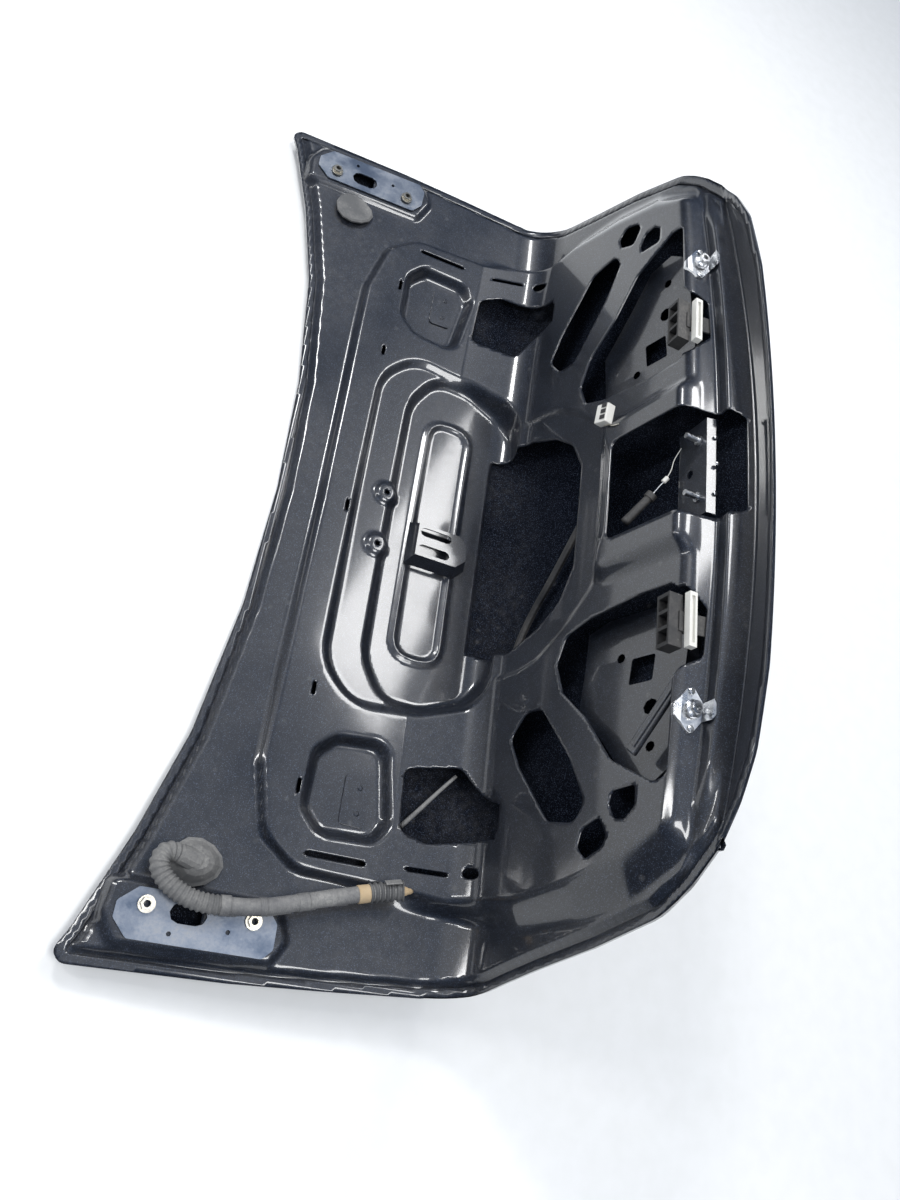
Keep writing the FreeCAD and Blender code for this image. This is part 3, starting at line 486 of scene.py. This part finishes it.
# Holes are (outline, corner radius), the wall's in height and Y and the others in X and Y. One that lies
# wholly on one side is mirrored to the other.
frontHole = (mirrored([(-40.0, 168.0), (12.0, 189.0), (72.0, 192.0), (132.0, 168.0), (172.0, 137.0),
                       (195.0, 87.0)]), 22.0)
wallHoles = [
    ([(280.0, 82.0), (440.0, 82.0), (440.0, -82.0), (280.0, -82.0)], 14.0),
    ([(108.0, 335.0), (135.0, 300.0), (168.0, 302.0), (232.0, 380.0), (268.0, 440.0), (255.0, 466.0),
      (205.0, 460.0), (135.0, 380.0)], 18.0),
    ([(186.0, 240.0), (200.0, 200.0), (240.0, 186.0), (330.0, 175.0), (392.0, 176.0), (392.0, 425.0),
      (372.0, 428.0), (303.0, 392.0), (256.0, 332.0), (205.0, 286.0)], 14.0),
    ([(308.0, 448.0), (310.0, 432.0), (348.0, 428.0), (350.0, 454.0), (336.0, 468.0), (318.0, 466.0)], 6.0),
    ([(263.0, 497.0), (279.0, 511.0), (304.0, 499.0), (310.0, 485.0), (295.0, 461.0), (268.0, 474.0)], 6.0),
]
shelfHoles = [
    ([(540.0, 82.0), (582.0, 82.0), (599.0, 62.0), (599.0, -62.0), (582.0, -82.0), (540.0, -82.0)], 8.0),
    ([(540.0, 180.0), (575.0, 184.0), (602.0, 212.0), (598.0, 276.0), (572.0, 292.0), (561.0, 320.0),
      (561.0, 400.0), (550.0, 424.0), (540.0, 424.0)], 6.0),
]
deckHoles = [
    ([(391.0, 388.0), (470.0, 374.0), (516.0, 446.0), (512.0, 474.0), (430.0, 490.0), (394.0, 478.0)], 14.0),
    (box(311.0, 530.0, 84.0, 7.0), 3.4), (box(434.0, 526.5, 56.0, 6.4), 3.2),
    (box(242.0, 305.0, 5.5, 21.0), 2.6), (box(246.0, 445.0, 5.5, 22.0), 2.6),
    (box(237.0, 0.0, 5.5, 21.0), 2.6), (box(486.0, 521.0, 15.0, 15.0), 7.4),
    (box(136.0, 631.0, 46.0, 26.0), 3.0),
    (box(boss["x"], boss["y"], 8.0, 8.0), 1.0),
]


# Height over the skin of every grid point, and how far in from the lid's edge it is
def panelLevels(s, g, y, onDeck, wall):
    side = np.abs(y)
    x, z = s[..., 0], 0.5 * (s[..., 1] + g[..., 1])
    ringX, ringZ = g[..., 0], g[..., 1]
    gap = np.linalg.norm(g - s, axis=-1)
    edge = edgeDistance(x, y, s[..., 1], onDeck)
    level = panel["flange"] + (panel["band"] - panel["flange"]) * smooth(*panel["bandFade"], edge)
    level = np.minimum(level, np.maximum(gap, panel["flange"]))

    def raiseTo(height, share):
        return level + (np.maximum(level, height) - level) * share

    plan = rounded(ringPlan + [(past["x"], 556.0), (past["x"], past["y"]), (199.0, past["y"])],
                   panel["ringRadius"])
    inPlan = 1 - smooth(*panel["ringFade"], outlineDistance(x, side, plan))
    near = np.interp(z, *zip(*sideNear))
    far = np.interp(z, *zip(*sideFar))
    inRear = 1 - smooth(0.0, 1.0, (side - near) / (far - near))
    mixed = smooth(*panel["mixFade"], x)
    level = raiseTo(gap, np.where(onDeck, inPlan * (1 - mixed) + inRear * mixed, inRear))
    onDeckOnly = 1 - smooth(*recessFade["wall"], ringX)
    for name, recess in recesses.items():
        whole = recess["half"] if name == "pocket" else mirrored(recess["half"])
        away = outlineDistance(x, side if name == "pocket" else y, rounded(whole, recess["radius"], 9))
        cut = (1 - smooth(-recessFade["side"], recessFade["side"], away)) * onDeckOnly
        level = level + (np.minimum(level, recess["height"]) - level) * cut
    away = np.abs(outlineDistance(x, y, rounded(bead["outline"], bead["radius"])))
    level = level + bead["rise"] * (1 - smooth(*bead["fade"], away)) * (~wall)
    away = outlineDistance(x, side, rounded(hingePad["outline"], hingePad["radius"]))
    level = raiseTo(hingePad["height"], 1 - smooth(*hingePad["fade"], away))
    away = np.hypot(x - boss["x"], side - boss["y"])
    level = raiseTo(boss["height"], (1 - smooth(*boss["fade"], away)) * (~wall))
    away = outlineDistance(ringZ, y, rounded(latchPad["outline"], latchPad["radius"]))
    onWall = wall * (ringX < latchPad["upToX"]) * (1 - smooth(*latchPad["shelfFade"], ringX))
    level = level + latchPad["rise"] * (1 - smooth(*latchPad["fade"], away)) * onWall
    away = outlineDistance(ringZ, y, rounded(mirrored(fold["half"]), fold["radius"]))
    onWall = smooth(*fold["wallFade"], ringX) * (ringZ < fold["upToZ"])
    level = level - fold["depth"] * (1 - smooth(*fold["fade"], away)) * onWall
    return level, edge


# Lowers the field of metal in each hole of the list, at the grid points that 'here' marks.
def cutHoles(keep, across, y, holes, here):
    for outline, radius in holes:
        overMiddle = min(b for a, b in outline) < 0
        away = outlineDistance(across, y if overMiddle else np.abs(y), rounded(outline, radius))
        keep = np.minimum(keep, np.where(here, away, 1e3))
    return keep


def buildPanel():
    ys = gridLines(panel["ys"])
    s, g, wallStart, shelfStart = sectionRows(ys, gridLines(panel["xs"]), panel["counts"])
    y = np.broadcast_to(ys, s.shape[:2])
    row = np.broadcast_to(np.arange(s.shape[0])[:, None], y.shape)
    onDeck = s[..., 0] < lid["fold"]
    level, edge = panelLevels(s, g, y, onDeck, row >= wallStart + panel["wallLag"])
    d = g - s
    d /= np.linalg.norm(d, axis=-1, keepdims=True)
    p = s + d * level[..., None]
    px, pz = p[..., 0], p[..., 1]
    away = outlineDistance(pz, y, rounded(*frontHole))
    keep = np.minimum(edge - panel["edgeCut"], np.maximum(away, panel["frontCut"] - px))
    keep = cutHoles(keep, pz, y, wallHoles, row >= wallStart)
    keep = cutHoles(keep, px, y, shelfHoles, (row >= shelfStart) & (pz > panel["shelfOver"]))
    keep = cutHoles(keep, px, np.abs(y), deckHoles, pz < panel["deckUnder"])
    rim = np.stack([-d[..., 0], 0 * px, -d[..., 1]], -1) * panel["rim"]
    rim[level < panel["lowRimUnder"]] *= panel["lowRim"]
    obj = gridSheet("innerPanel", np.stack([px, y, pz], -1), keep, rim)
    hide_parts("inner_panel")
    print("inner panel", len(obj.data.polygons), "faces")


buildPanel()


# Outer skin, and the fold of its hem over the inner panel's flange
skinSheets = {
    "outerSkin": {"height": 0.0, "step": 9, "width": 1000.0, "rim": 4.6, "material": skinPaintWithInnerShade},
    "hemFold": {"height": 5.0, "step": 5, "width": 12.0, "rim": -1.0, "material": None},
}
skinGrid = {"sides": 702, "deckEnd": 385, "counts": (10, 12, 40, 9), "edgeCut": 0.05}


def buildSkin():
    for name, sheet in skinSheets.items():
        ys = gridLines([(-skinGrid["sides"], skinGrid["sides"], sheet["step"])])
        xs = gridLines([(0, skinGrid["deckEnd"], sheet["step"])])
        s, g, wallStart, shelfStart = sectionRows(ys, xs, skinGrid["counts"], sheet["height"])
        y = np.broadcast_to(ys, s.shape[:2])
        edge = edgeDistance(s[..., 0], y, s[..., 1], s[..., 0] < lid["fold"])
        keep = np.minimum(edge - skinGrid["edgeCut"], sheet["width"] - edge)
        d = g - s
        d /= np.linalg.norm(d, axis=-1, keepdims=True) + 1e-9
        rim = np.stack([d[..., 0], 0 * y, d[..., 1]], -1) * sheet["rim"]
        obj = gridSheet(name, np.stack([s[..., 0], y, s[..., 1]], -1), keep, rim, sheet["material"])
        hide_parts("outer_skin")


buildSkin()
print("outer skin made")


# Cut loom: one spline, with its ribbed ends and tape as pieces on it
loom = {
    "route": [(113.0, -562.0, 38.0), (100.0, -559.7, 43.5), (91.0, -568.0, 47.0), (91.0, -582.0, 48.5),
              (102.0, -595.0, 49.0), (118.0, -605.0, 49.5), (138.0, -612.0, 50.0), (160.0, -614.0, 50.5),
              (176.0, -612.6, 51.0), (216.0, -609.1, 52.3), (262.0, -596.0, 51.5), (312.0, -580.0, 50.0),
              (359.0, -567.0, 51.5), (380.0, -561.2, 52.2), (402.0, -557.5, 58.5)],
    "radius": 10.6,
    "conduit": {"end": 132, "step": 0.7, "radius": 11.6, "rib": 0.9, "pitch": 6.6},
    "boot": {"length": 46, "rings": 66, "radius": 11.8, "rib": 1.5, "pitch": 7.4, "lip": 0.8, "lipLength": 8},
    "tail": {"length": 15, "rings": 8, "radius": 6.2, "taper": 0.25, "sag": 0.05, "rough": 0.5},
    "flag": {"centre": (384.0, -549.5, 66.0), "first": (0.94, 0.22, 0.12), "second": (0, -0.5, 0.86),
             "size": (22.0, 11.0, 1.6)},
    "flaps": {"at": (146, 196, 212, 246, 288), "shift": (1.5, -9.8, -5.6), "second": (0, -0.55, -0.83),
              "size": (13.0, 5.5, 0.9), "growth": 2},
    # start along the loom, width, radius and material of each band
    "bands": [(130, 12, 12.4, None), (178, 9, 11.1, None), (226, 15, 11.2, None), (268, 8, 11.0, None),
              (306, 16, 11.6, tanFoam)],
    "bandRings": 8, "bandRough": 0.12,
}


# Centre line of a quadratic spline along the route, the same as that of the sleeve's own curve
def splinePoints(points, steps=12):
    p = [np.array(v, float) for v in points]
    joints = [p[0]] + [(a + b) / 2 for a, b in zip(p[1:-2], p[2:-1])] + [p[-1]]
    out = []
    for a, q, b in zip(joints, p[1:-1], joints[1:]):
        for k in range(steps):
            t = k / steps
            out.append((1 - t) ** 2 * a + 2 * t * (1 - t) * q + t * t * b)
    return np.array(out + [p[-1]])


# Points at these distances along a path, and the path's length
def along(path, distances):
    steps = np.concatenate([[0], np.cumsum(np.linalg.norm(np.diff(path, axis=0), axis=1))])
    return np.stack([np.interp(distances, steps, path[:, k]) for k in range(3)], 1), steps[-1]


def tubeMesh(name, path, radii, sides=20):
    path = np.array(path)
    tangent = np.gradient(path, axis=0)
    tangent /= np.linalg.norm(tangent, axis=1, keepdims=True)
    across = np.cross(tangent, (0, 0, 1.0))
    across /= np.linalg.norm(across, axis=1, keepdims=True)
    up = np.cross(across, tangent)
    angles = np.linspace(0, 2 * math.pi, sides, endpoint=False)
    verts = [place(c + a * (r * math.cos(t)) + b * (r * math.sin(t)))
             for c, a, b, r in zip(path, across, up, radii) for t in angles]
    faces = []
    for i in range(len(path) - 1):
        for k in range(sides):
            m = (k + 1) % sides
            faces.append((i * sides + k, i * sides + m, (i + 1) * sides + m, (i + 1) * sides + k))
    faces.append(tuple(reversed(range(sides))))
    faces.append(tuple(range((len(path) - 1) * sides, len(path) * sides)))
    mesh = bpy.data.meshes.new(name)
    mesh.from_pydata(verts, [], faces)
    return mesh


def unit(v):
    return v / np.linalg.norm(v)


# Bevelled block with its sides along first, second and their cross product
def blockPiece(name, centre, first, second, size, slotName, bevel=0.6):
    a = unit(np.array(first, float))
    c = unit(np.cross(a, second))
    b = np.cross(c, a)
    halves = [axis * length / 2 for axis, length in zip((a, b, c), size)]
    verts = [place(np.array(centre, float) + i * halves[0] + j * halves[1] + k * halves[2])
             for i in (-1, 1) for j in (-1, 1) for k in (-1, 1)]
    faces = [(0, 1, 3, 2), (4, 6, 7, 5), (0, 4, 5, 1), (2, 3, 7, 6), (0, 2, 6, 4), (1, 5, 7, 3)]
    mesh = bpy.data.meshes.new(name)
    mesh.from_pydata(verts, [], faces)
    obj = finishPiece(name, mesh, slotName, flat=True)
    edge = obj.modifiers.new("edge", "BEVEL")
    edge.width = bevel / 1000
    edge.segments = 2
    return obj


def makeSleeve():
    curve = bpy.data.curves.new("loomSleeve", "CURVE")
    curve.dimensions = "3D"
    spline = curve.splines.new("NURBS")
    spline.points.add(len(loom["route"]) - 1)
    for point, p in zip(spline.points, loom["route"]):
        point.co = (*place(p), 1)
    spline.order_u = 3
    spline.use_endpoint_u = True
    spline.resolution_u = 8
    curve.bevel_depth = loom["radius"] / 1000
    curve.bevel_resolution = 6
    curve.use_fill_caps = True
    sleeve = bpy.data.objects.new("loomSleeve", curve)
    scene.collection.objects.link(sleeve)
    curve.materials.append(materials["tape"])
    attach(sleeve, "root")
    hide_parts("wiring_conduit", "wiring_sleeve", "wiring_boot")
    return sleeve


def buildLoom():
    sleeve = makeSleeve()
    path = splinePoints(loom["route"])
    total = along(path, [0])[1]
    print("loom length", round(total, 2))

    def tube(name, centres, radii, slotName, material=None):
        return finishPiece(name, tubeMesh(name, centres, radii), slotName, material)

    s = loom["conduit"]
    d = np.arange(0, s["end"], s["step"])
    ribs = s["radius"] + s["rib"] * np.cos(d * 2 * math.pi / s["pitch"])
    pieces = [tube("conduitRibs", along(path, d)[0], ribs, "grey_rubber")]
    s = loom["boot"]
    d = np.linspace(total - s["length"], total, s["rings"])
    bellows = s["radius"] + s["rib"] * np.cos((d - total) * 2 * math.pi / s["pitch"])
    bellows = bellows + s["lip"] * smooth(total - s["lipLength"], total, d)
    pieces.append(tube("bootBellows", along(path, d)[0], bellows, "grey_rubber"))
    s = loom["tail"]
    d = np.linspace(0, s["length"], s["rings"])
    out = path[-1] + unit(path[-1] - path[-2]) * d[:, None] - (0, 0, s["sag"]) * (d ** 2)[:, None]
    stub = s["radius"] - s["taper"] * d + rng.uniform(-s["rough"], s["rough"], s["rings"])
    pieces.append(tube("loomTail", out, stub, "tape", tanFoam))
    pieces.append(blockPiece("loomFlag", *loom["flag"].values(), "tape"))
    s = loom["flaps"]
    for k, a in enumerate(s["at"]):
        spot = along(path, [a, a + 4])[0]
        size = (s["size"][0] + s["growth"] * (k % 3), *s["size"][1:])
        pieces.append(blockPiece("tapeFlap%d" % k, spot[0] + np.array(s["shift"]), unit(spot[1] - spot[0]),
                                 s["second"], size, "tape"))
    for k, (a, width, radius, material) in enumerate(loom["bands"]):
        d = np.linspace(a, a + width, loom["bandRings"])
        uneven = radius + rng.uniform(-loom["bandRough"], loom["bandRough"], loom["bandRings"])
        pieces.append(tube("loomBand%d" % k, along(path, d)[0], uneven, "tape", material))


buildLoom()
print("loom made")


# Small things in and round the holes
plug = {"foot": (547.5, 131.0, 270.0), "normal": (-0.98, 0.0, 0.2), "along": (0, 1, 0.25),
        "up": (0.2, 0.0, 0.98), "size": (30.0, 24.0, 15.0), "bevel": 1.6, "cavities": 3,
        "cavitySize": (6.4, 10.0, 0.8), "cavityBevel": 0.2, "cavityStart": (0.0, -9.0, 3.0),
        "cavityStep": (0.0, 9.0, 2.3), "cavityOut": 7.6, "wire": ((3, -16, -4), (10, -26, 22))}
# Each tube has its two ends, the radii there and its slot.
lockTubes = {
    "lockPlug": dict(a=(553.0, -54.0, 296.0), b=(576.0, -15.0, 322.0), r0=6.6, r1=5.8,
                     slotName="black_plastic"),
    "lockPlugCollar": dict(a=(574.0, -19.0, 319.5), b=(577.5, -12.5, 323.5), r0=8.2, r1=8.2,
                           slotName="black_plastic"),
    "lockWire": dict(a=(576.0, -15.0, 322.0), b=(590.0, 10.0, 336.0), r0=0.9, r1=0.9,
                     slotName="bright_steel", wobble=1.0, sides=8),
    "lockBead": dict(a=(587.5, 6.0, 333.5), b=(591.5, 12.5, 337.5), r0=3.6, r1=3.6,
                     slotName="white_plastic"),
    "lockThread": dict(a=(590.0, 10.0, 336.0), b=(599.0, 54.0, 354.5), r0=0.7, r1=0.6,
                       slotName="white_plastic", wobble=3.0, sides=6),
    "openingStick": dict(a=(404.0, -466.0, 7.6), b=(470.0, -383.0, 24.0), r0=3.6, r1=2.6, slotName="tape",
                         wobble=2.2),
}
brace = {"first": (22.0, 88.0, 66.0), "second": (0.2, -0.6, 0.8)}
braceBlocks = {
    "braceBar": dict(centre=(568.0, -343.0, 364.0), size=(112.0, 17.0, 6.0), bevel=2.0),
    "braceRib": dict(centre=(565.0, -343.0, 365.0), size=(96.0, 6.0, 3.0), bevel=1.2),
}
dimples = {"at": ((617.4, 44.0, 411.4), (617.4, -44.0, 411.4), (617.6, 0.0, 415.6)), "start": (-6.5, 0, 2.2),
           "end": (-6.2, 0, 3.2), "radii": (3.6, 2.8)}
clip = {"a": (500.0, -352.0, 56.0), "b": (496.0, -352.0, 57.0), "r0": 4.0, "r1": 3.0, "slotName": "nut_steel"}


def straightTube(name, a, b, r0, r1, slotName, wobble=0.0, sides=16, material=None):
    t = np.linspace(0, 1, 14)[:, None]
    line = np.array(a, float) * (1 - t) + np.array(b, float) * t
    line = line + wobble * np.sin(t * 7.0) * np.array([0.3, 0.4, 0.6])
    return finishPiece(name, tubeMesh(name, line, r0 + (r1 - r0) * t[:, 0], sides), slotName, material)


def buildPlug():
    normal = np.array(plug["normal"])
    centre = np.array(plug["foot"]) - np.array([latchPad["rise"], 0, 0]) + normal * (plug["size"][2] / 2)
    blockPiece("latchConnector", centre, plug["along"], plug["up"], plug["size"], "white_plastic",
               plug["bevel"])
    # Thin black plates on the connector's face are painted shade, standing in for the dark of its cavities.
    for k in range(plug["cavities"]):
        shift = np.array(plug["cavityStart"]) + k * np.array(plug["cavityStep"])
        blockPiece("connectorCavityShade%d" % k, centre + normal * plug["cavityOut"] + shift, plug["along"],
                   plug["up"], plug["cavitySize"], "black_plastic", plug["cavityBevel"])
    a, b = (centre + v for v in plug["wire"])
    straightTube("connectorWire", a, b, 1.2, 1.0, "nut_steel", 2.0, 8)


def buildTrim():
    buildPlug()
    for name, s in lockTubes.items():
        straightTube(name, **s)
    for name, s in braceBlocks.items():
        blockPiece(name, s["centre"], brace["first"], brace["second"], s["size"], "body_paint", s["bevel"])
    for k, at in enumerate(dimples["at"]):
        a, b = (np.array(at) + np.array(dimples[part]) for part in ("start", "end"))
        straightTube("shelfDimple%d" % k, a, b, *dimples["radii"], "bright_steel")
    straightTube("greenClip", **clip, material=materials["green_plastic"])


buildTrim()
print("trim made")


# Floor, light and camera. The camera's axes come from solving the photo's mirrored pairs of features.
view = {
    "tilt": 9.65,
    "eye": (0.1522, -0.7042, 1.2030),
    "right": (0.95511, 0.13024, 0.26607),
    "down": (0.22715, -0.89851, -0.37561),
    "ahead": (0.19015, 0.41919, -0.88776),
    "focal": 906.16 / 1200 * 36,
}
lights = {
    "keyLight": dict(at=(-1.0, 1.6, 2.3), target=(0, 0, 0.1), size=(0.5, 0.5), power=30.0),
    "deckLight": dict(at=(0.85, 1.27, 2.22), target=(0.06, 0, 0), size=(0.35, 1.1), power=20.0),
    "stripLight": dict(at=(-2.0, 0.3, 1.6), target=(0, 0, 0.1), size=(0.10, 2.6), power=22.0),
    "topLight": dict(at=(0.3, -0.9, 2.8), target=(0.1, 0, 0.2), size=(0.9, 0.9), power=36.0),
}
studio = {
    "floorHalf": 8, "floor": ((0.80, 0.80, 0.79, 1), (0.83, 0.83, 0.825, 1)), "floorRough": 0.9,
    "sky": ((0.5, 0.5, 0.5, 1), (0.8, 0.88, 1.0, 1)), "skyStrength": 0.6,
    "gloss": ((0.035, 0.05, 0.085, 1), (0.26, 0.38, 0.62, 1)),
}


def addCamera():
    turn = Matrix.Rotation(-math.radians(view["tilt"]), 3, "Y")
    data = bpy.data.cameras.new("camera")
    cam = bpy.data.objects.new("camera", data)
    scene.collection.objects.link(cam)
    axes = Matrix((turn @ Vector(view["right"]), -(turn @ Vector(view["down"])),
                   -(turn @ Vector(view["ahead"])))).transposed().to_4x4()
    axes.translation = turn @ Vector(view["eye"]) + Vector((origin["x"] / 1000, 0, origin["z"] / 1000))
    cam.matrix_world = axes
    data.sensor_fit = "VERTICAL"
    data.sensor_height = 36
    data.lens = view["focal"]
    data.clip_start = 0.02
    scene.camera = cam


def addFloor():
    half = studio["floorHalf"]
    mesh = bpy.data.meshes.new("floor")
    corners = [(-half, -half, 0), (half, -half, 0), (half, half, 0), (-half, half, 0)]
    mesh.from_pydata(corners, [], [(0, 1, 2, 3)])
    floor = bpy.data.objects.new("floor", mesh)
    scene.collection.objects.link(floor)
    material = bpy.data.materials.new("floorMatte")
    material.use_nodes = True
    n = Nodes(material.node_tree)
    shader = material.node_tree.nodes["Principled BSDF"]
    shader.inputs["Roughness"].default_value = studio["floorRough"]
    grain = n.add("ShaderNodeTexNoise", {"Scale": 30.0, "Detail": 6.0,
                                         "Vector": n.add("ShaderNodeTexCoord").outputs["Object"]})
    n.links.new(n.mix(n.ramp(grain.outputs[0], 0.3, 0.7), *studio["floor"]), shader.inputs["Base Color"])
    mesh.materials.append(material)


def addLights():
    for name, s in lights.items():
        data = bpy.data.lights.new(name, "AREA")
        data.shape = "RECTANGLE"
        data.size, data.size_y = s["size"]
        data.energy = s["power"]
        lamp = bpy.data.objects.new(name, data)
        scene.collection.objects.link(lamp)
        lamp.location = s["at"]
        lamp.rotation_euler = (Vector(s["target"]) - Vector(s["at"])).to_track_quat("-Z", "Y").to_euler()


# The camera sees white, shiny surfaces see a darker blue sky, and the rest is lit by a pale one.
def addWorld():
    world = bpy.data.worlds.new("studio")
    scene.world = world
    world.use_nodes = True
    n = Nodes(world.node_tree)
    back = world.node_tree.nodes["Background"]
    path = n.add("ShaderNodeLightPath")
    seen, glossy = path.outputs["Is Camera Ray"], path.outputs["Is Glossy Ray"]
    up = n.add("ShaderNodeSeparateXYZ", {0: n.add("ShaderNodeTexCoord").outputs["Generated"]}).outputs[2]
    sky = n.mix(n.ramp(up, -0.1, 0.6), *studio["sky"])
    sky = n.mix(glossy, sky, n.mix(n.ramp(up, 0.1, 0.95), *studio["gloss"]))
    n.links.new(n.mix(seen, sky, (1.0, 1.0, 1.0, 1)), back.inputs["Color"])
    n.links.new(n.ramp(seen, 0.0, 1.0, studio["skyStrength"], 1.0), back.inputs["Strength"])


addFloor()
addLights()
addWorld()
addCamera()
scene.view_settings.view_transform = "Standard"
print("stage set")
